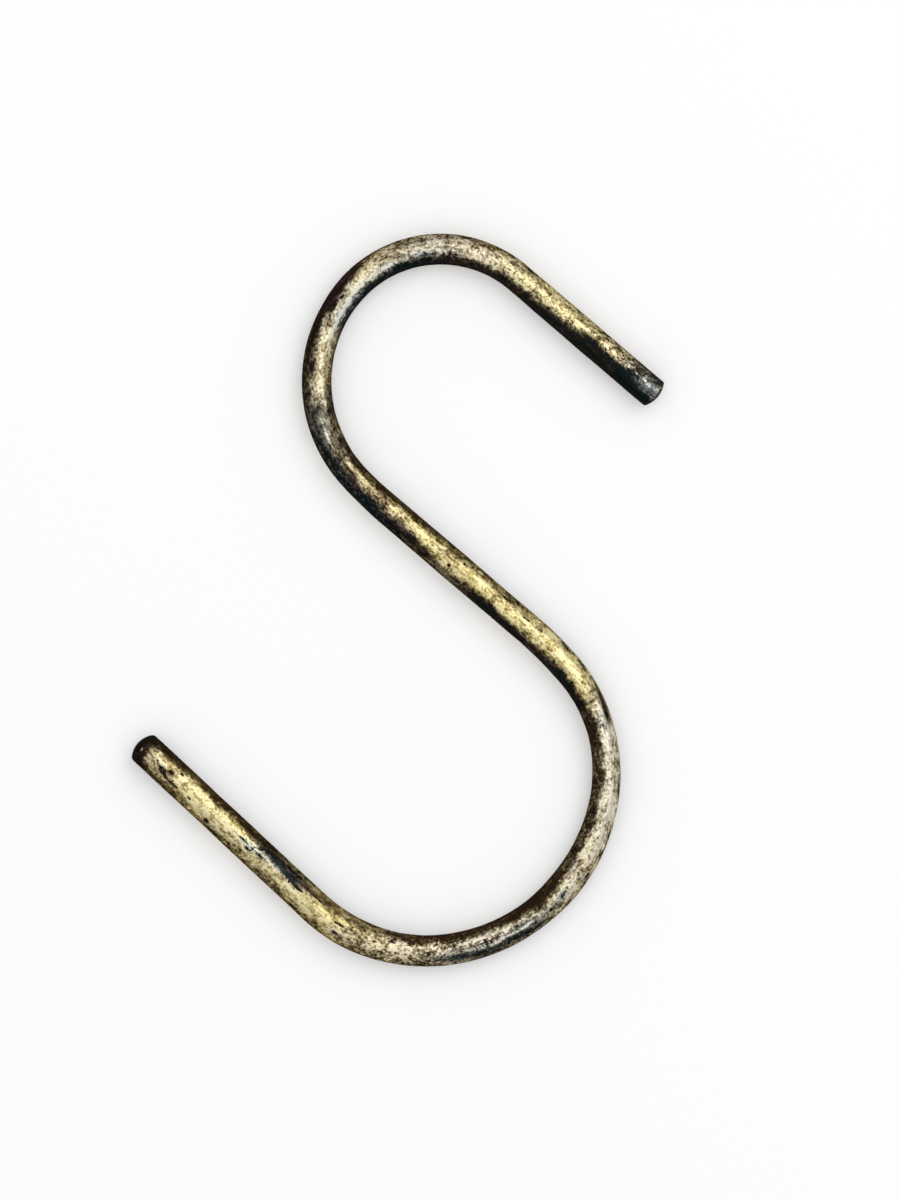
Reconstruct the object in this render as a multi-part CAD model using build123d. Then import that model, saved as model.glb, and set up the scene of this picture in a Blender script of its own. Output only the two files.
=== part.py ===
"""S hook: one round bar, bent into two opposite bays, with a straight leg and a domed end at each side.

Millimetres. The hook lies flat, as it rests on a table: the S is in the XY plane with its hanging
direction along +Y, and +Z is up. The origin is under the middle of the hook, on the table.
"""
from build123d import *
import os

# Round bar before it was bent
bar_diameter = 5.0

# Shank, the straight run between the two bends. It slopes down to the right.
shank_length = 30.5
shank_slope = 40.5

# Upper bend, named from the shank up and over: radius of the centre line and turn in degrees
shoulder_radius = 65.0
shoulder_turn = 6.0
back_radius = 23.0
back_turn = 82.5
crown_radius = 19.5
crown_turn = 91.5
upper_leg_length = 30.1

# Lower bend, named from the shank down and round
hip_radius = 65.0
hip_turn = 8.0
side_radius = 26.0
side_turn = 51.5
belly_radius = 30.0
belly_turn = 70.0
rise_radius = 27.0
rise_turn = 53.0
lower_leg_length = 39.4

# The bar was bent by hand, so it is drawn thinner in places and squeezed thicker in others.
# Each value is the share by which the bar is thicker there. A bend with several has them evenly spaced.
crown_growth = (0.0,)
back_growth = (-0.03, -0.03, -0.03)
shoulder_growth = (0.0,)
shank_growth = (0.0,)
hip_growth = (0.0,)
side_growth = (-0.1, -0.06)
belly_growth = (0.02, 0.02, 0.02, 0.02)
rise_growth = (0.02, 0.05, 0.1)
lower_leg_growth = 0.08

# Ends: radius of the dome and of the worn rim round it
upper_dome_radius = 4.5
upper_rim_radius = 0.4
lower_dome_radius = 4.0
lower_rim_radius = 0.9

lower_leg_diameter = bar_diameter * (1 + lower_leg_growth)


def straight(start, heading, length):
    """A straight run from a point, along a unit direction."""
    return Line(start, start + heading * length)


def bend(before, radius, turn):
    """An arc that leaves the run before it without a corner. A positive turn goes left."""
    return JernArc(start=before @ 1, tangent=before % 1, radius=radius, arc_size=turn)


def centre_line():
    """The bar's middle, from the joint of the upper leg to the joint of the lower leg."""
    shank_heading = Vector(1, 0, 0).rotate(Axis.Z, -shank_slope)
    upper_turn = shoulder_turn + back_turn + crown_turn
    leg_heading = shank_heading.rotate(Axis.Z, -upper_turn)
    leg = straight(Vector(0, 0, 0), leg_heading, upper_leg_length)
    crown = bend(leg, crown_radius, crown_turn)
    back = bend(crown, back_radius, back_turn)
    shoulder = bend(back, shoulder_radius, shoulder_turn)
    shank = straight(shoulder @ 1, shoulder % 1, shank_length)
    hip = bend(shank, hip_radius, -hip_turn)
    side = bend(hip, side_radius, -side_turn)
    belly = bend(side, belly_radius, -belly_turn)
    rise = bend(belly, rise_radius, -rise_turn)
    return [crown, back, shoulder, shank, hip, side, belly, rise]


def section(line, place, diameter):
    """The bar's round section, square to a line at a place from 0 to 1 along it."""
    across = Plane(origin=line @ place, x_dir=(0, 0, 1), z_dir=line % place)
    return across * Circle(diameter / 2)


def stretch(line, start_diameter, end_diameter):
    """A length of bar along a line, growing evenly from one diameter to the other."""
    ends = [section(line, 0, start_diameter), section(line, 1, end_diameter)]
    return sweep(sections=ends, path=line, multisection=True)


def bent_bar(runs):
    """The bar between the legs: stretches end to end, each starting as thick as the last one ends."""
    growths = [crown_growth, back_growth, shoulder_growth, shank_growth,
               hip_growth, side_growth, belly_growth, rise_growth + (lower_leg_growth,)]
    diameter = bar_diameter
    stretches = []
    for run, growth in zip(runs, growths):
        for index, share in enumerate(growth):
            line = run.edge().trim(index / len(growth), (index + 1) / len(growth))
            end_diameter = bar_diameter * (1 + share)
            stretches.append(stretch(line, diameter, end_diameter))
            diameter = end_diameter
    return stretches


def leg(length, diameter, dome_radius, rim_radius):
    """A straight round leg along +Z, from its joint with the bend to its domed end."""
    half = diameter / 2
    dome_height = dome_radius - (dome_radius**2 - half**2) ** 0.5
    rim_point = (half, length - dome_height)
    tip_point = (0, length)
    outline = Line((0, 0), (half, 0))
    outline += Line((half, 0), rim_point)
    outline += RadiusArc(rim_point, tip_point, -dome_radius)
    outline += Line(tip_point, (0, 0))
    profile = make_face(outline)
    rim = profile.vertices().sort_by_distance(rim_point)[0]
    return revolve(Plane.XZ * fillet(rim, rim_radius), Axis.Z)


def placed_leg(leg_solid, joint, outward):
    """Puts a leg on the end of the bend, pointing away from it."""
    return Plane(origin=joint, x_dir=(0, 0, 1), z_dir=outward) * leg_solid


def hook_bar():
    """The whole hook as one solid, lying on the table with its middle at the origin."""
    runs = centre_line()
    first, last = runs[0], runs[-1]
    upper_leg = leg(upper_leg_length, bar_diameter, upper_dome_radius, upper_rim_radius)
    lower_leg = leg(lower_leg_length, lower_leg_diameter, lower_dome_radius, lower_rim_radius)
    hook = placed_leg(upper_leg, first @ 0, -(first % 0))
    hook += bent_bar(runs)
    hook += placed_leg(lower_leg, last @ 1, last % 1)
    box = hook.bounding_box()
    return Pos(-box.center().X, -box.center().Y, -box.min.Z) * hook


os.makedirs("parts", exist_ok=True)
hook = hook_bar()
print("hook", [round(size, 2) for size in hook.bounding_box().size], "volume", round(hook.volume, 1))
export_step(hook, "parts/hook_bar.step")
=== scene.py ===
# %% [markdown]
# # An s hook of worn antique brass
#
# The real thing is one round brass bar, about 5 mm thick, cut to length, domed at both ends and bent
# into two opposite bays. Years of handling have rubbed its raised side bright and left dark patina in
# the bays, and the ends are dark too. Along its edges the bar is darker as well, partly from that patina
# and partly from painted shade, the dark that a round metal bar shows at its sides. The lesson makes it
# in the same order: a straight blank, its wear, the bends, and then the finish.

# %% Load the frame
# The imported model is the fixed frame. Its box is kept, so that the dressed hook can be compared with it.
import math
import random

import bmesh
import bpy
import numpy as np
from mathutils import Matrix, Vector, noise


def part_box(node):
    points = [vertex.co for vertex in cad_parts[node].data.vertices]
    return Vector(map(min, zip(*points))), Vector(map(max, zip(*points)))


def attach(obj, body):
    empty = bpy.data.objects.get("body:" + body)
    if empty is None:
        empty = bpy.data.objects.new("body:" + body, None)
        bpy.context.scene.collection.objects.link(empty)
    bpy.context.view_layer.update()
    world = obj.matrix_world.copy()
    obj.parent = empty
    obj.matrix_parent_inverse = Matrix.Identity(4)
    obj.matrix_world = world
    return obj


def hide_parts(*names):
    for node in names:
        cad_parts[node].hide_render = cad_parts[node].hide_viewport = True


MM = 0.001
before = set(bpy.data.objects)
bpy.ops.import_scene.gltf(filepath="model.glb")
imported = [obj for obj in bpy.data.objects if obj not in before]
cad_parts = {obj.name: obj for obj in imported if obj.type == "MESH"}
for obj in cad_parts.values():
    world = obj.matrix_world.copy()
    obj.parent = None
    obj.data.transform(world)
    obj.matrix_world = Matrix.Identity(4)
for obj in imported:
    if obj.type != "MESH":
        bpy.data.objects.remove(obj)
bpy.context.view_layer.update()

# %% [markdown]
# ## The sizes of the bar
#
# A bender works from a table: how far to feed the bar, then how far to turn it round which former. The
# same table drives this model. It runs from the upper tip to the lower tip, and a positive turn goes
# left. Everything else, such as where a scratch lies, is measured in millimetres along the bar from
# the upper tip, and in degrees round it: 0 is the side that faces up, 90 the left of the way along.

# %% The bending table
bar_radius = 2.5 * MM
lower_leg_radius = 2.7 * MM
shank_slope = 40.5

# Name, radius of the bend in mm (or length where the bar is straight), and turn in degrees
bending_table = [
    ("upper_leg", 30.1, 0.0),
    ("crown", 19.5, 91.5),
    ("back", 23.0, 82.5),
    ("shoulder", 65.0, 6.0),
    ("shank", 30.5, 0.0),
    ("hip", 65.0, -8.0),
    ("side", 26.0, -51.5),
    ("belly", 30.0, -70.0),
    ("rise", 27.0, -53.0),
    ("lower_leg", 39.4, 0.0),
]


def run_length(size, turn):
    """Length of one run of the bar, in metres."""
    return size * MM * (abs(math.radians(turn)) if turn else 1.0)


run_starts = {}
bar_length = 0.0
for run_name, size, turn in bending_table:
    run_starts[run_name] = bar_length
    bar_length += run_length(size, turn)
print("bar length, mm:", round(bar_length / MM, 1))

# %% [markdown]
# ## The straight blank
#
# Before bending, the bar is a turned form: a dome with a worn rim, a long round length, and another dome.
# A lathe makes such a form by spinning an outline, and so do these cells. One vertex at the tip is spun
# round the dome's centre, then round the rim's, and drawn out along the bar. The finished outline is
# then spun once round the bar's own axis. Its rings lie close together, because the wear to come is
# only a few tenths of a millimetre across.

# %% Outline of the blank
ring_spacing = 0.225 * MM
facets_around = 80
dome_steps, rim_steps = 8, 5
upper_dome_radius, upper_rim_radius = 4.5 * MM, 0.4 * MM
lower_dome_radius, lower_rim_radius = 4.0 * MM, 0.9 * MM


def dome_angle(half, dome_radius, rim_radius):
    """How far round the dome its rim starts, and how deep the rim's centre lies below the tip."""
    across = half - rim_radius
    down = math.sqrt((dome_radius - rim_radius) ** 2 - across**2)
    return math.atan2(across, down), dome_radius - down


def spin_point(bm, vert, centre, angle, steps):
    """Spins one vertex round a centre, in the plane of the outline, and returns the last one."""
    made = bmesh.ops.spin(bm, geom=[vert], cent=centre, axis=(0, 1, 0), dvec=(0, 0, 0),
                          angle=angle, steps=steps, use_duplicate=False)
    return [item for item in made["geom_last"] if isinstance(item, bmesh.types.BMVert)][0]


def blank_outline(bm):
    """Draws the blank's outline in the XZ plane, from the upper tip at the origin to the lower one."""
    upper_turn, upper_depth = dome_angle(bar_radius, upper_dome_radius, upper_rim_radius)
    lower_turn, lower_depth = dome_angle(lower_leg_radius, lower_dome_radius, lower_rim_radius)
    quarter = math.pi / 2
    vert = bm.verts.new((0, 0, 0))
    vert = spin_point(bm, vert, (0, 0, upper_dome_radius), -upper_turn, dome_steps)
    rim_centre = (bar_radius - upper_rim_radius, 0, upper_depth)
    vert = spin_point(bm, vert, rim_centre, upper_turn - quarter, rim_steps)
    grown = bmesh.ops.extrude_vert_indiv(bm, verts=[vert])
    vert, long_edge = grown["verts"][0], grown["edges"][0]
    vert.co = (lower_leg_radius, 0, bar_length - lower_depth)
    rim_centre = (lower_leg_radius - lower_rim_radius, 0, bar_length - lower_depth)
    vert = spin_point(bm, vert, rim_centre, lower_turn - quarter, rim_steps)
    spin_point(bm, vert, (0, 0, bar_length - lower_dome_radius), -lower_turn, dome_steps)
    rings = round(long_edge.calc_length() / ring_spacing)
    bmesh.ops.subdivide_edges(bm, edges=[long_edge], cuts=rings - 1)


rim_start, rim_depth = dome_angle(bar_radius, upper_dome_radius, upper_rim_radius)
print("upper dome, degrees:", round(math.degrees(rim_start), 1), "rim, mm down:", round(rim_depth / MM, 2))

# %% Spin the blank
merge_distance = 0.001 * MM


def straight_blank():
    """The closed straight bar, as a mesh along +Z."""
    bm = bmesh.new()
    blank_outline(bm)
    bmesh.ops.spin(bm, geom=bm.verts[:] + bm.edges[:], cent=(0, 0, 0), axis=(0, 0, 1), dvec=(0, 0, 0),
                   angle=2 * math.pi, steps=facets_around, use_merge=True, use_duplicate=False)
    bmesh.ops.remove_doubles(bm, verts=bm.verts[:], dist=merge_distance)
    bmesh.ops.recalc_face_normals(bm, faces=bm.faces[:])
    mesh = bpy.data.meshes.new("hook_bar_worn")
    bm.to_mesh(mesh)
    bm.free()
    return mesh


blank = straight_blank()
print("blank:", len(blank.vertices), "vertices,", len(blank.polygons), "faces")

# %% [markdown]
# ## Where each point of the blank is
#
# Wear is easiest to place on the straight bar, so every vertex is first given its own distance along
# and its angle round. Both stay with it for the rest of the lesson, also after the bar is bent.

# %% Distance along and angle round
nearly_nothing = 1e-9
coords = np.empty(len(blank.vertices) * 3)
blank.vertices.foreach_get("co", coords)
coords = coords.reshape(-1, 3)
along = coords[:, 2] / MM
radius = np.hypot(coords[:, 0], coords[:, 1])
round_left = coords[:, 0] / np.maximum(radius, nearly_nothing)
round_up = coords[:, 1] / np.maximum(radius, nearly_nothing)
angle = np.degrees(np.arctan2(round_left, round_up))
print("along:", round(along.min(), 2), "to", round(along.max(), 2), "mm")

# %% [markdown]
# ## Thick and thin
#
# A bar that is bent by hand doesn't stay even. It is drawn thinner on the tight stretches and squeezed
# thicker where it was gripped. The broad changes repeat those of the solid part, and the small swells
# are the unevenness that is left in the real bar.

# %% Thickness along the bar
# Share of the bar's thickness that each run reaches. A run with several has them evenly spaced.
growth = {
    "upper_leg": (0.0,),
    "crown": (0.0,),
    "back": (-0.03, -0.03, -0.03),
    "shoulder": (0.0,),
    "shank": (0.0,),
    "hip": (0.0,),
    "side": (-0.1, -0.06),
    "belly": (0.02, 0.02, 0.02, 0.02),
    "rise": (0.02, 0.05, 0.1, 0.08),
    "lower_leg": (0.08,),
}
# Small swells and hollows: distance along in mm, half length in mm, change of radius in mm
swells = [
    (27, 7, -0.04), (45, 8, 0.04), (64, 5, -0.06), (95, 6, -0.04), (115, 6, 0.04), (179, 4.5, 0.07),
    (187, 3.5, -0.05), (226, 5, 0.03), (250, 6, -0.01),
]
print("runs:", len(growth), "small swells:", len(swells))

# %% Thickness at each point
bell_width = 0.6
tip_ease_length = 3.0


def swell(centre, half, position):
    """A smooth bump that is 1 at its centre and 0 beyond about twice its half length."""
    return np.exp(-0.5 * ((position - centre) / (half * bell_width)) ** 2)


def thickness_share(position):
    """The share that the bar is thicker at a distance along it, from the growth table."""
    places, shares = [0.0], [0.0]
    for run_name, size, turn in bending_table:
        steps = growth[run_name]
        for index, share in enumerate(steps):
            run_share = (index + 1) / len(steps)
            places.append((run_starts[run_name] + run_length(size, turn) * run_share) / MM)
            shares.append(share)
    return np.interp(position, places, shares)


plain_radius = bar_radius + (lower_leg_radius - bar_radius) * along * MM / bar_length
wanted_radius = bar_radius * (1 + thickness_share(along))
for centre, half, change in swells:
    wanted_radius = wanted_radius + change * MM * swell(centre, half, along)
tip_ease = np.clip(np.minimum(along, bar_length / MM - along) / tip_ease_length, 0, 1)
radius_scale = 1 + (wanted_radius / plain_radius - 1) * tip_ease
print("thinnest, mm:", round(2 * wanted_radius.min() / MM, 2))
print("thickest, mm:", round(2 * wanted_radius.max() / MM, 2))

# %% [markdown]
# ## The bends
#
# Each vertex keeps its offset from the bar's own axis and is carried to its place on the bent line. This
# is what a bending jig does to the real bar, and it keeps the section round in every bend.

# %% The bent line
def bent_line(position):
    """Point and heading of the bar's axis at a distance along it, in metres, from the upper tip."""
    total_turn = sum(turn for _, _, turn in bending_table[1:4])
    heading = math.radians(-shank_slope - total_turn)
    x, y, headings = np.zeros_like(position), np.zeros_like(position), np.zeros_like(position)
    start = Vector((0.0, 0.0))
    for run_name, size, turn in bending_table:
        first, length = run_starts[run_name], run_length(size, turn)
        last_run = run_name == bending_table[-1][0]
        here = (position >= first) & ((position < first + length) | last_run)
        travel = position - first
        curve = math.radians(turn) / length
        if turn:
            ahead = heading + curve * travel
            dx = (np.sin(ahead) - math.sin(heading)) / curve
            dy = (math.cos(heading) - np.cos(ahead)) / curve
            end_heading = heading + math.radians(turn)
            step_x = (math.sin(end_heading) - math.sin(heading)) / curve
            step_y = (math.cos(heading) - math.cos(end_heading)) / curve
            step = Vector((step_x, step_y))
        else:
            ahead = np.full_like(position, heading)
            dx, dy = travel * math.cos(heading), travel * math.sin(heading)
            end_heading = heading
            step = length * Vector((math.cos(heading), math.sin(heading)))
        x[here] = (start.x + dx)[here]
        y[here] = (start.y + dy)[here]
        headings[here] = ahead[here]
        start, heading = start + step, end_heading
    return x, y, headings


tip_x, tip_y, _ = bent_line(np.array([bar_length]))
print("from tip to tip, mm:", round(float(np.hypot(tip_x[0], tip_y[0])) / MM, 1))


# %% Bend the even bar
# An even bar, without swells or wear, has the solid part's own thickness. Its box gives the shift that
# puts the bent line where the frame has the hook.
def bend_bar(points):
    """Carries points of the straight bar to the bent one. X of the bar goes left, Y goes up."""
    x, y, headings = bent_line(points[:, 2])
    left, up = points[:, 0], points[:, 1]
    return np.stack([x - left * np.sin(headings), y + left * np.cos(headings), up], 1)


even_bar = coords.copy()
even_bar[:, :2] *= (bar_radius * (1 + thickness_share(along)) / plain_radius)[:, None]
bent = bend_bar(even_bar)
node_low, node_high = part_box("hook_bar")
to_frame = np.array((node_low + node_high) / 2) - (bent.max(0) + bent.min(0)) / 2
print("bent size, mm:", np.round((bent.max(0) - bent.min(0)) / MM, 2))
print("CAD size, mm:", np.round(np.array(node_high - node_low) / MM, 2))

# %% [markdown]
# ## Where the brass is rubbed bright, and the painted edge shade
#
# The finish is not the same all round. Hands and rails have rubbed a band along the bar, and the dark
# patina stays beside it, most of all inside the bays. The dark sides are also painted shade: a round
# metal bar looks dark along its edges, and here that dark is painted into the colour. The band is
# described row by row, as it is seen from above: where along the bar, where the band begins and ends
# across it (1 is the left edge of the bar, -1 the right edge), and how bright its middle and the two
# sides are. A second table gives the colour in the same way. A texture painted by hand could do this
# too, but rows of plain numbers can be read and changed. The underside takes the rows from the other
# end, so that it doesn't repeat the top.

# %% The rubbed band and the painted edge shade
# Distance in mm, left edge, right edge, brightness of the middle, of the left side, of the right side.
# The low brightness of the sides is patina and painted shade.
rubbed_band_and_edge_shade = [
    (0, 0.5, -0.8, 0.27, -0.10, 0.10), (3, 0.45, -0.85, 0.30, -0.10, 0.20),
    (6, 0.1, -0.9, 0.46, -0.10, 0.36), (9, 0.05, -0.95, 0.60, -0.10, 0.40),
    (13, 0.0, -0.95, 0.64, -0.10, 0.45), (17, 0.15, -0.95, 0.68, 0.00, 0.45),
    (21, 0.3, -0.95, 0.71, 0.02, 0.45), (26, 0.4, -0.9, 0.76, 0.05, 0.40),
    (31, 0.45, -0.8, 0.76, 0.12, 0.35), (37, 0.45, -0.75, 0.76, 0.10, 0.35),
    (43, 0.45, -0.85, 0.70, 0.05, 0.42), (48, 0.5, -0.8, 0.66, 0.00, 0.42),
    (53, 0.55, -0.75, 0.74, 0.00, 0.32), (58, 0.6, -0.5, 0.76, 0.00, 0.08),
    (62, 0.65, -0.35, 0.74, 0.02, 0.02), (66, 0.72, -0.4, 0.76, 0.10, 0.05),
    (71, 0.75, -0.5, 0.72, 0.35, 0.12), (76, 0.7, -0.55, 0.70, 0.32, 0.15),
    (80, 0.6, -0.5, 0.54, 0.30, 0.22), (84, 0.5, -0.4, 0.38, 0.28, 0.22),
    (89, 0.5, -0.2, 0.42, 0.26, 0.12), (94, 0.5, -0.1, 0.46, 0.20, 0.10),
    (99, 0.55, -0.2, 0.58, 0.14, 0.10), (104, 0.6, -0.25, 0.68, 0.14, 0.10),
    (109, 0.62, -0.3, 0.77, 0.18, 0.15), (114, 0.68, -0.45, 0.83, 0.28, 0.27),
    (118, 0.7, -0.5, 0.86, 0.36, 0.32), (122, 0.7, -0.35, 0.84, 0.36, 0.08),
    (128, 0.7, -0.4, 0.83, 0.36, 0.05), (134, 0.85, -0.45, 0.83, 0.46, 0.20),
    (139, 0.9, -0.4, 0.87, 0.48, 0.10), (144, 0.85, -0.35, 0.84, 0.45, 0.05),
    (148, 0.7, -0.3, 0.66, 0.40, 0.14), (152, 0.8, -0.25, 0.80, 0.50, 0.16),
    (157, 0.9, -0.2, 0.86, 0.50, 0.20), (163, 0.9, -0.25, 0.86, 0.40, 0.26),
    (169, 0.9, -0.3, 0.86, 0.48, 0.27), (175, 0.9, -0.4, 0.84, 0.50, 0.24),
    (180, 0.9, -0.35, 0.80, 0.50, 0.12), (184, 0.8, -0.1, 0.66, 0.35, 0.06),
    (189, 0.45, -0.4, 0.62, 0.32, 0.08), (195, 0.2, -0.5, 0.70, 0.34, 0.10),
    (200, 0.3, -0.5, 0.62, 0.36, 0.14), (205, 0.75, -0.5, 0.62, 0.38, 0.20),
    (211, 0.7, -0.5, 0.72, 0.40, 0.30), (216, 0.65, -0.4, 0.70, 0.38, 0.42),
    (221, 0.65, -0.3, 0.78, 0.38, 0.52), (226, 0.7, -0.15, 0.86, 0.36, 0.52),
    (231, 0.7, -0.2, 0.84, 0.34, 0.44), (237, 0.7, -0.4, 0.80, 0.33, 0.26),
    (242, 0.7, -0.55, 0.81, 0.35, 0.14), (248, 0.7, -0.6, 0.83, 0.33, 0.17),
    (254, 0.6, -0.6, 0.81, 0.32, 0.17), (259, 0.5, -0.55, 0.78, 0.30, 0.12),
    (262.4, 0.5, -0.6, 0.74, 0.20, 0.00), (263.4, 0.3, -0.6, 0.0, -0.10, -0.10),
    (266, 0.0, 0.0, -0.1, -0.10, -0.10),
]
print("rows of the rubbed band:", len(rubbed_band_and_edge_shade))

# %% Colour along the bar
# Distance in mm, warmth of the left side, gold in the middle, warmth of the right side. A warmth of -1 is
# blue-black and 1 is brown, and a gold of 0 is silvery and 1 is yellow.
colour_along = [
    (0, -0.8, 0.0, -0.2), (6, -0.4, 0.4, 0.8), (15, -0.2, 0.7, 0.8), (25, 0.0, 0.8, 0.7),
    (33, 0.1, 0.6, 0.7), (40, 0.0, 0.3, 0.8), (47, -0.6, 0.15, 0.8), (53, -0.8, 0.5, 0.7),
    (60, -0.8, 0.3, 0.2), (66, 0.2, 0.2, -0.2), (72, 0.6, 0.5, 0.0), (80, 0.6, 0.4, 0.2),
    (88, 0.3, 0.3, -0.4), (96, 0.5, 0.5, -0.7), (104, 1.0, 0.7, -0.5), (114, 0.9, 0.95, 0.5),
    (124, 0.9, 0.95, -0.2), (135, 0.9, 0.9, 0.3), (145, 0.6, 0.8, -0.3), (151, 0.1, 0.1, 0.3),
    (165, 0.1, 0.1, 0.5), (175, 0.3, 0.35, 0.5), (182, -0.2, 0.4, 0.2), (190, -0.6, 0.1, 0.4),
    (200, -0.3, 0.1, 0.8), (207, 0.4, 0.4, 0.9), (215, 0.7, 0.5, 0.9), (223, 0.7, 0.9, 0.9),
    (232, 0.6, 0.6, 0.2), (240, 0.5, 0.8, 0.6), (250, 0.7, 0.9, 0.7), (259, 0.6, 0.7, 0.6),
    (264, -0.2, 0.3, -0.2),
]
print("rows of colour:", len(colour_along))


# %% Soft steps and ragged noise
def smooth_step(low, high, value):
    """0 at low, 1 at high and a soft change between. Low may be the larger of the two."""
    share = np.clip((value - low) / (high - low), 0, 1)
    return share * share * (3 - 2 * share)


def ragged(size, seed, octaves=4):
    """Fractal noise from about -1 to 1 at each vertex of the blank, with features of a size in mm."""
    smoothness, step_between_octaves = 0.7, 2.1
    shift = Vector((seed * 17.3, seed * 5.1, seed * 9.7))
    places = [Vector(point) / size + shift for point in coords / MM]
    return np.array([noise.fractal(place, smoothness, step_between_octaves, octaves) for place in places])


broad_noise = ragged(size=3.2, seed=1)
small_noise = ragged(size=1.1, seed=2)
print("broad noise:", round(broad_noise.min(), 2), "to", round(broad_noise.max(), 2))


# %% Wear and painted edge shade at every point
edge_softness = 0.3
broad_wander, small_wander = 0.13, 0.08
turned_under, turned_up = -0.3, 0.2


def columns(table, position):
    """The columns of a table at each distance along the bar."""
    table = np.array(table)
    return [np.interp(position, table[:, 0], table[:, column]) for column in range(1, table.shape[1])]


def wear_and_edge_shade_at(position, across, unevenness):
    """How bright, how warm and how golden the finish is, by the two tables, painted edge shade included.
    """
    left, right, middle, left_side, right_side = columns(rubbed_band_and_edge_shade, position)
    left_warmth, gold, right_warmth = columns(colour_along, position)
    shifted = across + unevenness
    in_left = 1 - smooth_step(-edge_softness, edge_softness, shifted - left)
    in_right = smooth_step(-edge_softness, edge_softness, shifted - right)
    to_left = smooth_step(-edge_softness, edge_softness, across - (left + right) / 2)
    side = right_side + (left_side - right_side) * to_left
    warmth = right_warmth + (left_warmth - right_warmth) * to_left
    return side + (middle - side) * in_left * in_right, warmth, gold


across = round_left * np.clip(radius / wanted_radius, 0, 1)
unevenness = broad_wander * broad_noise + small_wander * small_noise
upper = wear_and_edge_shade_at(along, across, unevenness)
under = wear_and_edge_shade_at(bar_length / MM - along, -across, unevenness)
faces_up = smooth_step(turned_under, turned_up, round_up)
bright, warmth, gold = (low + (high - low) * faces_up for low, high in zip(under, upper))
print("brightness on average:", round(bright.mean(), 2))

# %% [markdown]
# ## Single marks
#
# What makes one old hook differ from the next is its single marks: a patch of patina that was missed, a
# bright scratch, a pit. A few bright marks are painted highlights instead. Each has a row with its place
# along and across, its half length in mm, its half width across, and how strong it is. All are soft ovals
# here, and the noise of the material breaks their edges later.

# %% Dark marks
# Distance in mm, across, half length in mm, half width across, strength
dark_marks = [
    (14.0, 0.0, 2.3, 0.2, 0.8), (9.5, 0.2, 3.5, 0.14, 0.6), (21.5, 0.42, 2.2, 0.07, 0.7),
    (29.0, -0.85, 1.3, 0.1, 0.9), (46.6, 0.25, 1.8, 0.22, 0.55), (50.5, 0.12, 0.9, 0.12, 0.7),
    (54.0, 0.08, 0.9, 0.14, 0.7), (69.8, -0.7, 3.6, 0.14, 0.7), (82.5, -0.4, 2.5, 0.3, 0.4),
    (64.4, -0.28, 1.4, 0.18, 1.3), (62.2, -0.1, 0.6, 0.09, 0.9), (74.6, -0.32, 1.3, 0.2, 1.3),
    (107.5, -0.3, 2.6, 0.16, 0.55), (104.5, -0.05, 1.2, 0.1, 0.5), (115.3, -0.2, 0.36, 0.12, 1.5),
    (112.5, 0.2, 0.25, 0.08, 0.9), (117.1, 0.5, 0.3, 0.09, 0.9), (123.8, -0.78, 2.7, 0.13, 0.9),
    (130.8, -0.8, 2.8, 0.11, 0.9), (126.2, 0.55, 1.8, 0.09, 0.95), (130.4, 0.42, 2.3, 0.07, 0.9),
    (133.4, 0.46, 0.45, 0.14, 0.7), (137.5, 0.86, 1.2, 0.06, 0.6), (143.0, -0.78, 4.2, 0.14, 0.9),
    (149.9, 0.73, 1.9, 0.15, 1.1), (138.5, 0.78, 1.2, 0.12, 0.7), (147.0, 0.84, 1.1, 0.09, 0.8),
    (146.9, -0.75, 0.7, 0.25, 0.9), (162.5, 0.85, 1.6, 0.07, 0.8),
    (166.2, -0.5, 1.2, 0.16, 0.9), (173.8, -0.75, 0.9, 0.14, 0.9), (176.4, 0.75, 0.8, 0.09, 0.9),
    (180.8, 0.26, 1.3, 0.18, 0.75), (183.9, 0.42, 0.5, 0.09, 1.0), (187.6, 0.7, 2.8, 0.2, 0.7),
    (191.6, 0.48, 2.4, 0.22, 0.8), (189.5, 0.1, 2.8, 0.06, 0.8), (196.5, 0.06, 3.4, 0.06, 0.8),
    (196.4, 0.62, 2.2, 0.22, 0.7), (200.8, 0.5, 2.0, 0.24, 0.75), (211.4, -0.42, 0.5, 0.11, 1.1),
    (206.5, 0.2, 0.6, 0.08, 0.7), (214.4, -0.1, 0.4, 0.09, 0.7), (220.6, 0.43, 0.8, 0.1, 1.0),
    (221.0, -0.12, 1.1, 0.07, 1.1), (226.5, -0.5, 2.8, 0.06, 0.8), (228.4, 0.82, 1.4, 0.09, 0.9),
    (232.0, -0.32, 2.5, 0.3, 0.85), (236.6, -0.5, 3.0, 0.25, 0.85), (229.8, -0.2, 0.9, 0.07, 0.9),
    (236.4, 0.7, 0.9, 0.08, 0.7), (238.0, -0.04, 1.3, 0.08, 1.1), (240.3, 0.13, 0.6, 0.11, 1.0),
    (241.6, -0.09, 1.1, 0.08, 1.1), (246.6, 0.82, 1.8, 0.08, 0.9), (248.3, 0.56, 0.6, 0.11, 1.0),
    (252.8, 0.3, 0.3, 0.05, 0.8), (256.3, -0.45, 0.32, 0.08, 1.0), (257.0, 0.36, 2.3, 0.12, 1.0),
    (257.8, -0.1, 0.8, 0.18, 1.4), (259.3, 0.14, 1.2, 0.16, 1.0), (260.8, -0.06, 0.4, 0.06, 0.9),
]
print("dark marks:", len(dark_marks))
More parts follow.
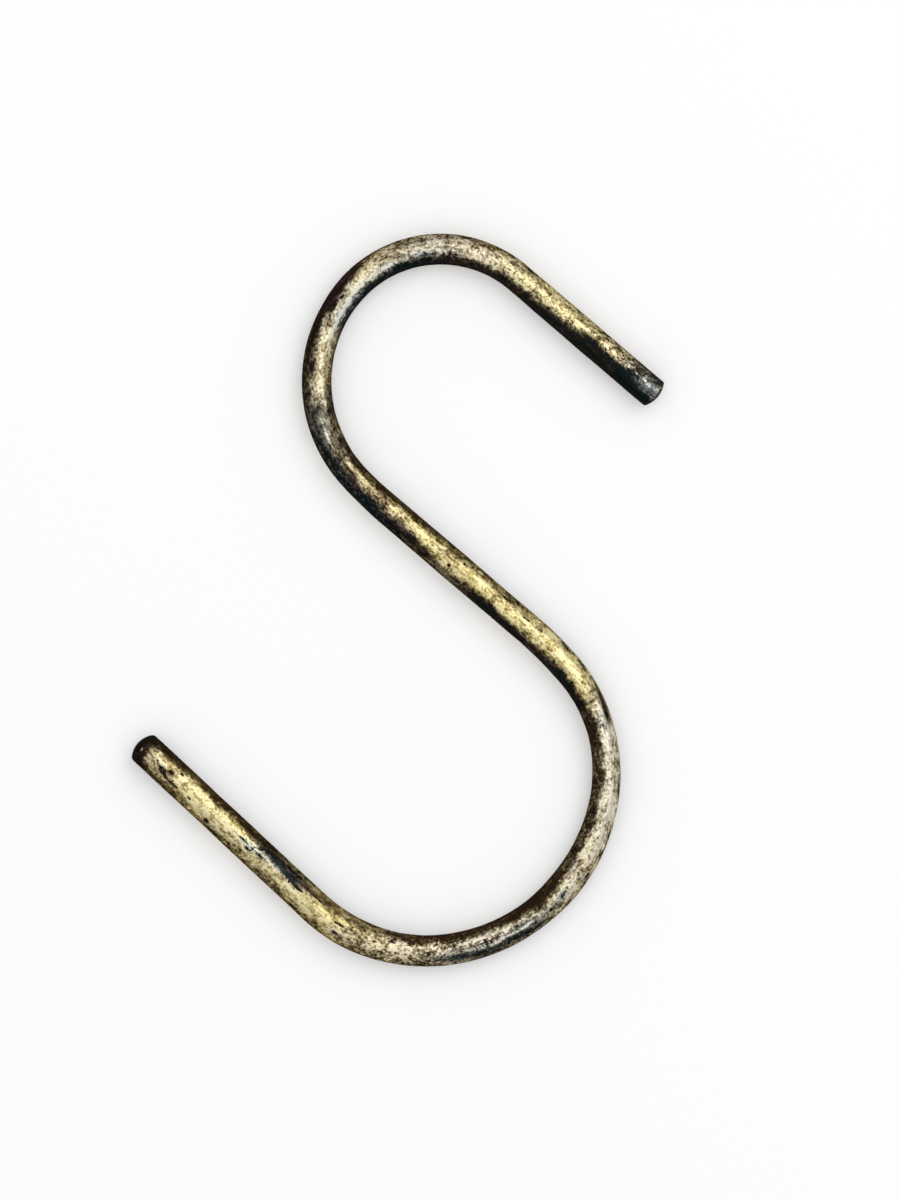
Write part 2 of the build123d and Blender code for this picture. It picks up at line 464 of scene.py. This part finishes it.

# %% Bright marks and painted highlights
# Most are scratches and rubbed spots. Two are painted highlights: the small spot at 263.9 mm on the dark
# lower dome, and the bluish streak at 64.8 mm.
bright_marks = [
    (3.2, -0.25, 2.4, 0.03, 0.5), (4.2, -0.55, 1.6, 0.03, 0.5), (0.7, -0.1, 0.25, 0.5, 0.55),
    (53.2, 0.38, 1.5, 0.16, 0.45), (56.8, 0.28, 2.0, 0.16, 0.35), (60.5, 0.36, 2.4, 0.1, 0.4),
    (64.8, 0.45, 3.4, 0.12, 0.5), (73.0, 0.25, 1.6, 0.14, 0.3), (77.5, 0.38, 1.6, 0.14, 0.35),
    (86.6, 0.02, 2.2, 0.035, 0.75), (80.8, 0.5, 1.6, 0.08, 0.4), (92.4, 0.35, 2.6, 0.1, 0.3),
    (91.5, -0.12, 1.6, 0.03, 0.5), (139.5, 0.1, 2.6, 0.12, 0.25), (165.0, 0.45, 9.0, 0.12, 0.2),
    (190.5, -0.22, 5.0, 0.05, 0.4), (196.8, -0.3, 3.0, 0.1, 0.3), (188.6, 0.3, 3.0, 0.07, 0.55),
    (194.5, 0.34, 2.8, 0.08, 0.55), (188.0, 0.85, 3.0, 0.04, 0.3), (201.0, 0.3, 1.2, 0.08, 0.3),
    (220.8, 0.03, 1.0, 0.045, 0.6), (218.5, 0.25, 1.2, 0.08, 0.4), (230.6, 0.12, 1.1, 0.07, 0.5),
    (240.6, 0.28, 0.5, 0.1, 0.4), (244.5, 0.05, 4.0, 0.08, 0.25), (263.9, 0.12, 0.22, 0.16, 0.8),
]
print("bright marks:", len(bright_marks))

# %% Tinted marks
# Cool marks turn the finish bluish, and pink ones reddish
# The cool mark at 64.5 mm turns the painted highlight at 64.8 mm bluish.
cool_marks = [
    (1.5, -0.1, 4.6, 0.9, 1.0), (46.8, 0.22, 2.6, 0.26, 0.9), (53.4, 0.4, 2.2, 0.25, 0.7),
    (58.0, 0.3, 2.8, 0.2, 0.5), (64.5, 0.45, 4.0, 0.2, 1.0), (62.0, 0.85, 6.0, 0.3, 0.7),
    (84.0, 0.0, 5.0, 0.6, 0.6), (180.8, 0.26, 1.8, 0.24, 1.0), (189.5, 0.4, 5.0, 0.35, 0.8),
    (201.0, 0.55, 2.4, 0.3, 0.9), (196.0, 0.5, 3.0, 0.3, 0.6), (234.5, -0.42, 4.5, 0.3, 1.0),
    (15.0, 0.7, 18.0, 0.5, 0.6), (95.0, -0.7, 13.0, 0.4, 0.8), (126.0, -0.8, 9.0, 0.3, 0.6),
    (142.0, -0.8, 6.0, 0.3, 0.6), (52.0, 0.85, 8.0, 0.3, 0.7), (240.5, -0.05, 2.4, 0.18, 0.9),
    (151.5, 0.35, 3.0, 0.3, 0.5),
]
pink_marks = [
    (62.5, -0.7, 4.5, 0.35, 1.0), (42.0, 0.0, 5.0, 0.5, 0.5), (104.3, -0.3, 1.8, 0.25, 0.9),
    (115.8, -0.7, 2.4, 0.25, 0.6), (176.0, -0.3, 2.4, 0.3, 0.7), (194.6, -0.02, 3.4, 0.12, 0.8),
    (220.6, 0.43, 1.3, 0.16, 1.0), (248.0, 0.6, 1.6, 0.25, 0.6), (209.0, 0.2, 6.0, 0.5, 0.4),
    (74.6, -0.3, 1.6, 0.2, 0.7), (95.0, -0.2, 1.6, 0.3, 0.6), (258.5, 0.2, 2.0, 0.3, 0.4),
]
print("tinted marks:", len(cool_marks) + len(pink_marks))

# %% Coarse and smooth grain
# The same columns, for where the grain is coarse (above 0) or smooth (below 0)
# The smooth mark at 64.0 mm keeps the painted highlight at 64.8 mm even.
grain_marks = [
    (208.0, 0.0, 9.0, 1.1, 0.75), (34.0, 0.0, 12.0, 1.0, 0.4), (9.0, -0.5, 5.0, 0.5, 0.5),
    (106.5, -0.1, 3.5, 0.5, 0.6), (11.0, 0.4, 8.0, 0.45, 0.9), (98.0, -0.65, 9.0, 0.4, 0.7),
    (57.0, 0.8, 8.0, 0.35, 0.7), (193.5, 0.45, 9.0, 0.4, 0.6), (141.0, -0.75, 6.0, 0.35, 0.7),
    (166.0, -0.7, 14.0, 0.35, 0.6), (193.0, -0.75, 9.0, 0.3, 0.6), (71.0, -0.75, 12.0, 0.3, 0.6),
    (224.0, -0.7, 9.0, 0.4, -0.8), (64.0, 0.45, 4.0, 0.2, -0.2), (119.0, 0.1, 5.0, 0.4, -0.4),
    (140.0, 0.1, 4.0, 0.4, -0.4), (228.0, 0.1, 4.0, 0.3, -0.4), (84.0, 0.0, 6.0, 0.8, -0.3),
]
print("grain marks:", len(grain_marks))

# %% Put the marks on the bar
mark_reach, mark_falloff = 2.2, 0.9
darkest, smoothest, coarsest = 1.5, -0.8, 1.0


def mark_layer(marks):
    """The sum of soft oval marks on the side that faces up."""
    layer = np.zeros_like(along)
    for distance, place, half_length, half_width, strength in marks:
        near = np.abs(along - distance) < mark_reach * half_length
        lengthwise = (along[near] - distance) / half_length
        crosswise = (across[near] - place) / half_width
        layer[near] += strength * np.exp(-(lengthwise**2 + crosswise**2) ** mark_falloff)
    return layer * faces_up


bright = bright + mark_layer(bright_marks)
cool, pink = np.clip(mark_layer(cool_marks), 0, 1), np.clip(mark_layer(pink_marks), 0, 1)
grainy = np.clip(mark_layer(grain_marks), smoothest, coarsest)
print("brightness with its marks:", round(bright.mean(), 2))

# %% The crease
# Where the crease crosses the bar's middle, how far it bows back at the edges, and its half width, in mm
crease_place, crease_bow, crease_width = 147.7, 1.0, 0.33
crease_strength = 0.75
crease_ends, crease_full = 0.8, 0.3
crease = np.exp(-((along - crease_place + crease_bow * across**2) / crease_width) ** 2)
crease = crease * smooth_step(crease_ends, crease_full, across) * faces_up
dark = np.clip(mark_layer(dark_marks) + crease_strength * crease, 0, darkest)
print("darkest mark:", round(dark.max(), 2))

# %% [markdown]
# ## Relief
#
# Patina is a thin crust, so it stands a little proud of the rubbed brass, and its border shows as a fine
# step. The bar also has shallow dents, small pits and a crease where it was bent too sharply. All of
# it is real shape: each vertex moves along the bar's radius by a few hundredths of a millimetre.

# %% Pits
# The seed gives the same pits on every run. Places are in mm along and degrees round, sizes in mm.
random.seed(5)
pit_count = 260
clear_of_tips = 2
smallest_pit, largest_pit = 0.12, 0.3
shallowest_pit, deepest_pit = 0.02, 0.055
pit_reach = 3
bar_mm = bar_length / MM
pits = []
for _ in range(pit_count):
    distance = random.uniform(clear_of_tips, bar_mm - clear_of_tips)
    place = random.uniform(-180, 180)
    size = random.uniform(smallest_pit, largest_pit)
    depth = random.uniform(shallowest_pit, deepest_pit)
    pits.append((distance, place, size, depth))
print("pits:", len(pits))

# %% Dents, crust and crease
crust_height = 0.02
dent_size, dent_depth = 5.5, 0.035
grain_size, grain_depth = 0.9, 0.012
crease_depth = 0.06
film_starts, film_full, film_wander = 0.3, 0.05, 0.1
patch_starts, patch_full, patch_wander = 0.4, 0.6, 0.2


def relief():
    """How far each vertex moves out from the bar's axis, in mm."""
    height = dent_depth * ragged(dent_size, seed=3, octaves=2)
    height += grain_depth * ragged(grain_size, seed=4, octaves=3)
    film = smooth_step(film_starts, film_full, bright + film_wander * small_noise)
    patches = smooth_step(patch_starts, patch_full, dark + patch_wander * small_noise)
    height += crust_height * np.clip(film + patches, 0, 1)
    height -= crease_depth * crease
    for distance, place, size, depth in pits:
        near = np.abs(along - distance) < pit_reach * size
        around = np.radians((angle[near] - place + 180) % 360 - 180)
        gap = np.hypot(along[near] - distance, around * wanted_radius[near] / MM)
        height[near] -= depth * np.exp(-(gap / size) ** 2)
    return height * tip_ease


height = relief()
print("relief, mm:", round(height.min(), 3), "to", round(height.max(), 3))

# %% [markdown]
# ## Bend the worn bar
#
# The straight bar now has its pits, dents and crust. It goes through the same bend as the even bar did,
# so that every mark is carried to its place on the hook. A curve modifier could bend a bar too, but
# this way each point keeps its distance along the bar, which the finish needs.

# %% The bent and worn bar
worn_bar = coords.copy()
out_of_axis = radius_scale * (1 + height * MM / np.maximum(wanted_radius, nearly_nothing))
worn_bar[:, :2] *= out_of_axis[:, None]
blank.vertices.foreach_set("co", (bend_bar(worn_bar) + to_frame).ravel())
blank.polygons.foreach_set("use_smooth", [True] * len(blank.polygons))
blank.update()
hook = bpy.data.objects.new("hook_bar_worn", blank)
bpy.context.scene.collection.objects.link(hook)
print("hook:", len(blank.polygons), "faces")

# %% Keep the wear and the painted light on the mesh
# The material reads these numbers back by name, each with its own value at every vertex.
def store(name, values):
    """Keeps one number for each vertex, for the material to read."""
    layer = blank.attributes.new(name, "FLOAT", "POINT")
    layer.data.foreach_set("value", values.astype(np.float32))


# The brightness holds painted edge shade and painted highlights as well as the wear.
wear_and_painted_light = {
    "bright": bright, "warmth": warmth, "gold": gold, "dark": dark,
    "cool": cool, "pink": pink, "grainy": grainy,
}
for name, values in wear_and_painted_light.items():
    store(name, values)
straight_layer = blank.attributes.new("straight", "FLOAT_VECTOR", "POINT")
straight_layer.data.foreach_set("vector", (coords / MM).astype(np.float32).ravel())
print("kept for each vertex:", ", ".join(wear_and_painted_light), "and its place on the straight bar")

# %% [markdown]
# ## Antique brass
#
# Antique brass is brass that was darkened on purpose or by age, and rubbed back. The colour runs from a
# black or brown crust over brown film and tan to bare cream brass, by how bright each spot was rubbed.
# Fine noise breaks that into grain. The noise reads the straight bar's coordinates, so that its streaks
# follow the bar round each bend. A few small helpers wire the nodes, so that the recipe reads as sums.

# %% The material and its sums
brass = bpy.data.materials.new("antique_brass")
brass.use_nodes = True
nodes, links = brass.node_tree.nodes, brass.node_tree.links
shader = nodes["Principled BSDF"]


def wire(value, socket):
    """Links an output to a socket, or sets the socket's own value."""
    if isinstance(value, bpy.types.NodeSocket):
        links.new(value, socket)
    else:
        socket.default_value = value


def calculate(operation, first, second):
    """A Math node."""
    made = nodes.new("ShaderNodeMath")
    made.operation = operation
    wire(first, made.inputs[0])
    wire(second, made.inputs[1])
    return made.outputs[0]


def times(value, factor):
    """An output multiplied by a factor."""
    return calculate("MULTIPLY", value, factor)


def add_up(*values):
    """The sum of several outputs."""
    total = values[0]
    for value in values[1:]:
        total = calculate("ADD", total, value)
    return total


def remap(value, low, high, to_low=0.0, to_high=1.0):
    """A Map Range node with a soft change. Low may be the larger of the two."""
    made = nodes.new("ShaderNodeMapRange")
    made.interpolation_type = "SMOOTHSTEP"
    for socket, number in zip(made.inputs, (value, low, high, to_low, to_high)):
        wire(number, socket)
    return made.outputs[0]


print("material:", brass.name)


# %% Reading the mesh and mixing colours
def stored(name, output="Fac"):
    """Reads an attribute of the mesh."""
    made = nodes.new("ShaderNodeAttribute")
    made.attribute_name = name
    return made.outputs[output]


def blend_colours(share, first, second):
    """A Mix node. It has an A and a B for each kind of value, so the colour ones go by number."""
    first_colour, second_colour, result = 6, 7, 2
    made = nodes.new("ShaderNodeMix")
    made.data_type = "RGBA"
    wire(share, made.inputs["Factor"])
    wire(first, made.inputs[first_colour])
    wire(second, made.inputs[second_colour])
    return made.outputs[result]


def colour_ramp(value, stops):
    """A Color Ramp node with stops of (position, red, green, blue)."""
    made = nodes.new("ShaderNodeValToRGB")
    elements = made.color_ramp.elements
    first, *between, last = stops
    for element, (position, *colour) in zip(elements, (first, last)):
        element.position = position
        element.color = (*colour, 1)
    for position, *colour in between:
        elements.new(position).color = (*colour, 1)
    wire(value, made.inputs["Fac"])
    return made.outputs[0]


straight = stored("straight", "Vector")
print("the noise reads:", straight.node.attribute_name)

# %% Noise on the straight bar
noise_roughness = 0.55


def bar_noise(size, length, strength, detail=3.0, distortion=0.0):
    """Noise from about -strength to strength. Its size across the bar and its length are in mm."""
    mapping = nodes.new("ShaderNodeMapping")
    wire(straight, mapping.inputs["Vector"])
    mapping.inputs["Scale"].default_value = (1 / size, 1 / size, 1 / length)
    made = nodes.new("ShaderNodeTexNoise")
    wire(mapping.outputs[0], made.inputs["Vector"])
    made.inputs["Scale"].default_value = 1.0
    made.inputs["Detail"].default_value = detail
    made.inputs["Roughness"].default_value = noise_roughness
    made.inputs["Distortion"].default_value = distortion
    centred = calculate("SUBTRACT", made.outputs[0], 0.5)
    return times(centred, 2.0 * strength)


# Clouds, blotches, single grains and long fine streaks of wear, and the drift of the tint
cloud = bar_noise(size=3.0, length=5.0, strength=0.45)
mottle = bar_noise(size=1.05, length=1.4, strength=0.75, detail=3, distortion=0.4)
grain = bar_noise(size=0.42, length=0.48, strength=0.75, detail=2, distortion=0.3)
grain = times(grain, calculate("ADD", stored("grainy"), 1.0))
streak = bar_noise(size=0.35, length=5.0, strength=0.3)
hue = bar_noise(size=2.2, length=3.4, strength=1.0)
print("noise layers:", len([node for node in nodes if node.bl_idname == "ShaderNodeTexNoise"]))

# %% [markdown]
# ## How bright each grain is
#
# Up close the finish is a mass of grains, some rubbed to bare metal and some still dark. So the layers of
# noise are added to the brightness of the rubbed band, which holds the painted edge shade too. The dark
# sides get a smaller share of them, because little has rubbed there.

# %% Rubbing and painted edge shade
spread = remap(stored("bright"), low=-0.1, high=0.6, to_low=0.35, to_high=1.0)
rubbing_and_edge_shade = add_up(stored("bright"), times(spread, add_up(cloud, mottle, grain, streak)))
print("nodes so far:", len(nodes))

# %% [markdown]
# ## The colour of the brass
#
# Bare brass is cream yellow, and a film of patina turns it tan, brown and then black. A film of another
# thickness looks silvery, bluish or reddish. So there are four rows of colours, each from dark film to
# bare metal, and the tables along the bar say which of them shows.

# %% Colours of the brass
# Place on the ramp, red, green, blue
gold_stops = [
    (0.0, 0.011, 0.007, 0.003), (0.2, 0.038, 0.024, 0.009), (0.4, 0.135, 0.094, 0.034),
    (0.6, 0.34, 0.265, 0.105), (0.8, 0.60, 0.50, 0.215), (1.0, 0.86, 0.77, 0.42),
]
pale_stops = [
    (0.0, 0.011, 0.008, 0.005), (0.2, 0.038, 0.026, 0.015), (0.4, 0.135, 0.102, 0.060),
    (0.6, 0.34, 0.285, 0.19), (0.8, 0.61, 0.54, 0.39), (1.0, 0.88, 0.83, 0.69),
]
cool_stops = [(0.0, 0.006, 0.010, 0.014), (0.5, 0.11, 0.15, 0.17), (1.0, 0.82, 0.88, 0.88)]
pink_stops = [(0.0, 0.015, 0.007, 0.012), (0.5, 0.17, 0.11, 0.11), (1.0, 0.88, 0.76, 0.66)]
print("barest gold:", gold_stops[-1][1:], "barest silvery:", pale_stops[-1][1:])

# %% Which colour shows
clouds_of_gold = 1.2
cool_mark_tint, cool_drift = 0.7, 0.3
pink_mark_tint, pink_drift = 0.6, 0.35
gold_share = remap(add_up(stored("gold"), times(cloud, clouds_of_gold)), low=0.0, high=1.0)
drift_to_cool = remap(hue, low=0.1, high=0.8, to_high=cool_drift)
drift_to_pink = remap(hue, low=-0.1, high=-0.8, to_high=pink_drift)
cool_share = add_up(times(stored("cool"), cool_mark_tint), drift_to_cool)
pink_share = add_up(times(stored("pink"), pink_mark_tint), drift_to_pink)
pale_brass, gold_brass = colour_ramp(rubbing_and_edge_shade, pale_stops), colour_ramp(rubbing_and_edge_shade, gold_stops)
brass_colour = blend_colours(gold_share, pale_brass, gold_brass)
brass_colour = blend_colours(cool_share, brass_colour, colour_ramp(rubbing_and_edge_shade, cool_stops))
brass_colour = blend_colours(pink_share, brass_colour, colour_ramp(rubbing_and_edge_shade, pink_stops))
print("nodes so far:", len(nodes))

# %% [markdown]
# ## The crust, and the painted edge shade
#
# Where nothing rubs, the patina is a crust, blue-black on some stretches and brown on others, with a dusty
# bloom. Along the bar's edges the same thin crust colour is also painted shade. The single dark marks are
# thicker and nearly black. Their borders are ragged, and flecks of metal show where they wore through.

# %% Colours of the crust and the painted edge shade
black_blue = (0.005, 0.0082, 0.0085, 1)
black_brown = (0.044, 0.020, 0.007, 1)
thick_black = (0.008, 0.0075, 0.006, 1)
blue_crust = (0.008, 0.0165, 0.018, 1)
red_crust = (0.026, 0.010, 0.013, 1)
dust = (0.080, 0.070, 0.050, 1)
dust_share = 0.6
cool_film_tint, pink_film_tint = 0.8, 0.7
cool_patch_tint, pink_patch_tint = 0.9, 0.8
warm_share = remap(add_up(stored("warmth"), cloud, mottle), low=-0.8, high=0.9)
bloom = remap(add_up(mottle, streak, grain), low=0.1, high=1.0, to_high=dust_share)
# This thin crust colour is patina in the bays and painted shade along the bar's edges.
thin_crust_and_edge_shade_colour = blend_colours(warm_share, black_blue, black_brown)
thin_crust_and_edge_shade_colour = blend_colours(times(stored("cool"), cool_film_tint), thin_crust_and_edge_shade_colour, blue_crust)
thin_crust_and_edge_shade_colour = blend_colours(times(stored("pink"), pink_film_tint), thin_crust_and_edge_shade_colour, red_crust)
thin_crust_and_edge_shade_colour = blend_colours(bloom, thin_crust_and_edge_shade_colour, dust)
thick_colour = blend_colours(times(stored("cool"), cool_patch_tint), thick_black, blue_crust)
thick_colour = blend_colours(times(stored("pink"), pink_patch_tint), thick_colour, red_crust)
print("crust from", black_blue[:3], "to", black_brown[:3])

# %% Where the crust and the painted edge shade lie
far_raggedness = 0.6
mottle_raggedness = 1.4
least_crust = 0.45
# The thin crust lies where the rubbing is low: patina in the bays, and painted shade along the bar's
# edges.
thin_crust_and_edge_shade = remap(rubbing_and_edge_shade, low=0.28, high=0.02)
near_mark = remap(stored("dark"), low=0.0, high=0.3, to_low=far_raggedness, to_high=1.0)
ragged_edge = add_up(times(mottle, mottle_raggedness), grain)
worn_through = remap(add_up(grain, streak), low=0.05, high=0.6, to_low=1.0, to_high=least_crust)
thick_crust = remap(add_up(stored("dark"), times(ragged_edge, near_mark)), low=0.44, high=0.62)
thick_crust = times(thick_crust, worn_through)
crust_and_edge_shade = calculate("MAXIMUM", thin_crust_and_edge_shade, thick_crust)
surface = blend_colours(thin_crust_and_edge_shade, brass_colour, thin_crust_and_edge_shade_colour)
wire(blend_colours(thick_crust, surface, thick_colour), shader.inputs["Base Color"])
print("nodes so far:", len(nodes))

# %% [markdown]
# ## Gloss and fine relief
#
# Rubbed brass has a satin gloss, a little uneven, and the crust is dark but about as smooth. A value that
# is the same all over is set on the shader itself. The bump is for what is finer than the mesh: the
# grain, the streaks and the step at the edge of the crust.

# %% Gloss and fine relief
metal_share = 0.92
edge_gloss, edge_tint = 0.4, (0.3, 0.27, 0.22, 1)
satin_roughness = 0.40
bump_strength, bump_depth = 1.0, 0.05 * MM
# How much each layer changes the roughness, and how high it stands in the bump
mottle_roughness, crust_roughness, cool_roughness = 0.15, -0.04, -0.08
grain_bump, streak_bump, crust_bump = 0.6, 0.5, 0.6
shader.inputs["Metallic"].default_value = metal_share
shader.inputs["Specular IOR Level"].default_value = edge_gloss
shader.inputs["Specular Tint"].default_value = edge_tint
roughness = add_up(satin_roughness, times(mottle, mottle_roughness), times(crust_and_edge_shade, crust_roughness))
roughness = add_up(roughness, times(stored("cool"), cool_roughness))
wire(roughness, shader.inputs["Roughness"])
fine = add_up(times(grain, grain_bump), times(streak, streak_bump), times(crust_and_edge_shade, crust_bump))
bump = nodes.new("ShaderNodeBump")
bump.inputs["Strength"].default_value = bump_strength
bump.inputs["Distance"].default_value = bump_depth
wire(fine, bump.inputs["Height"])
wire(bump.outputs[0], shader.inputs["Normal"])
blank.materials.append(brass)
print("nodes in the material:", len(nodes))

# %% What the worn bar stands for
# It rides on the only body, has the part's finish, and is shown in place of the plain solid.
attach(hook, "root")
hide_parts("hook_bar")
print("worn bar:", hook.name)

# %% [markdown]
# ## The table
#
# The hook lies on a plain white table. White paint renders a pale grey under soft light, so the table also
# glows a little, but only to the camera and to the metal that mirrors it. That whitens it without
# putting more light on the hook, and the table keeps the hook's shadow.


# %% White for the camera and for mirrors
def white_to_camera(tree, output, surface, strength):
    """Adds white light of the given strength to a surface, for the camera, mirrors and glass alone."""
    path = tree.nodes.new("ShaderNodeLightPath")
    seen = path.outputs["Is Camera Ray"]
    for name in ("Is Glossy Ray", "Is Transmission Ray"):
        either = tree.nodes.new("ShaderNodeMath")
        either.operation = "MAXIMUM"
        tree.links.new(seen, either.inputs[0])
        tree.links.new(path.outputs[name], either.inputs[1])
        seen = either.outputs[0]
    level = tree.nodes.new("ShaderNodeMath")
    level.operation = "MULTIPLY"
    tree.links.new(seen, level.inputs[0])
    level.inputs[1].default_value = strength
    glow = tree.nodes.new("ShaderNodeEmission")
    tree.links.new(level.outputs[0], glow.inputs["Strength"])
    both = tree.nodes.new("ShaderNodeAddShader")
    tree.links.new(surface, both.inputs[0])
    tree.links.new(glow.outputs[0], both.inputs[1])
    tree.links.new(both.outputs[0], output.inputs["Surface"])


floor_whiteness, floor_glow = 0.8, 0.25
table_white = bpy.data.materials.new("table_white")
table_white.use_nodes = True
tree = table_white.node_tree
tree.nodes.remove(tree.nodes["Principled BSDF"])
paint = tree.nodes.new("ShaderNodeBsdfDiffuse")
paint.inputs["Color"].default_value = (floor_whiteness, floor_whiteness, floor_whiteness, 1)
white_to_camera(tree, tree.nodes["Material Output"], paint.outputs[0], floor_glow)
print("table paint:", floor_whiteness, "glow:", floor_glow)

# %% Table
floor_half_side = 3.0
floor_mesh = bpy.data.meshes.new("floor")
bm = bmesh.new()
bmesh.ops.create_grid(bm, x_segments=1, y_segments=1, size=floor_half_side)
bm.to_mesh(floor_mesh)
bm.free()
floor_mesh.materials.append(table_white)
floor = bpy.data.objects.new("floor", floor_mesh)
bpy.context.scene.collection.objects.link(floor)
print("table, m:", 2 * floor_half_side)

# %% [markdown]
# ## The light
#
# A soft sky lights the hook, brighter overhead than at the horizon, with one large softbox at the upper
# right. Metal shows what is round it, so the sky matters as much as the lamp: an even one would make the
# bar look flat. The sky's brightness goes by direction alone, so it is the same for every camera.

# %% Sky
horizon_light, overhead_light = 0.2, 1.05
world = bpy.data.worlds.new("soft_studio")
bpy.context.scene.world = world
world.use_nodes = True
sky = world.node_tree
direction = sky.nodes.new("ShaderNodeTexCoord")
parts = sky.nodes.new("ShaderNodeSeparateXYZ")
sky.links.new(direction.outputs["Generated"], parts.inputs[0])
height_to_light = sky.nodes.new("ShaderNodeMapRange")
sky.links.new(parts.outputs["Z"], height_to_light.inputs["Value"])
height_to_light.inputs["To Min"].default_value = horizon_light
height_to_light.inputs["To Max"].default_value = overhead_light
sky.links.new(height_to_light.outputs[0], sky.nodes["Background"].inputs["Strength"])
sky.nodes["Background"].inputs["Color"].default_value = (1, 1, 1, 1)
print("sky:", horizon_light, "at the horizon,", overhead_light, "overhead")

# %% Softbox
softbox_side = 0.9
softbox_watts = 3.3
softbox_place = Vector((0.5, 0.5, 1.0))
lamp = bpy.data.lights.new("softbox", "AREA")
lamp.size = softbox_side
lamp.energy = softbox_watts
softbox = bpy.data.objects.new("softbox", lamp)
softbox.location = softbox_place
softbox.rotation_euler = (-softbox_place).to_track_quat("-Z", "Y").to_euler()
bpy.context.scene.collection.objects.link(softbox)
print("softbox:", softbox_side, "m wide,", softbox_watts, "W")

# %% [markdown]
# ## The camera
#
# The hook lies flat, so the camera looks straight down on it, with the S upright in the picture. It is a
# metre away, so that the bar keeps an even width and both ends are seen from straight above.

# %% Camera
view_centre = (8.53 * MM, 0.03 * MM)
view_height = 196.45 * MM
camera_distance = 1.0
sensor_width = 36.0
camera_data = bpy.data.cameras.new("camera")
camera_data.sensor_width = sensor_width
camera_data.lens = sensor_width * camera_distance / view_height
camera = bpy.data.objects.new("camera", camera_data)
camera.location = (*view_centre, camera_distance + bar_radius)
bpy.context.scene.collection.objects.link(camera)
bpy.context.scene.camera = camera
bpy.context.scene.view_settings.view_transform = "Standard"
print("lens, mm:", round(camera_data.lens, 1))
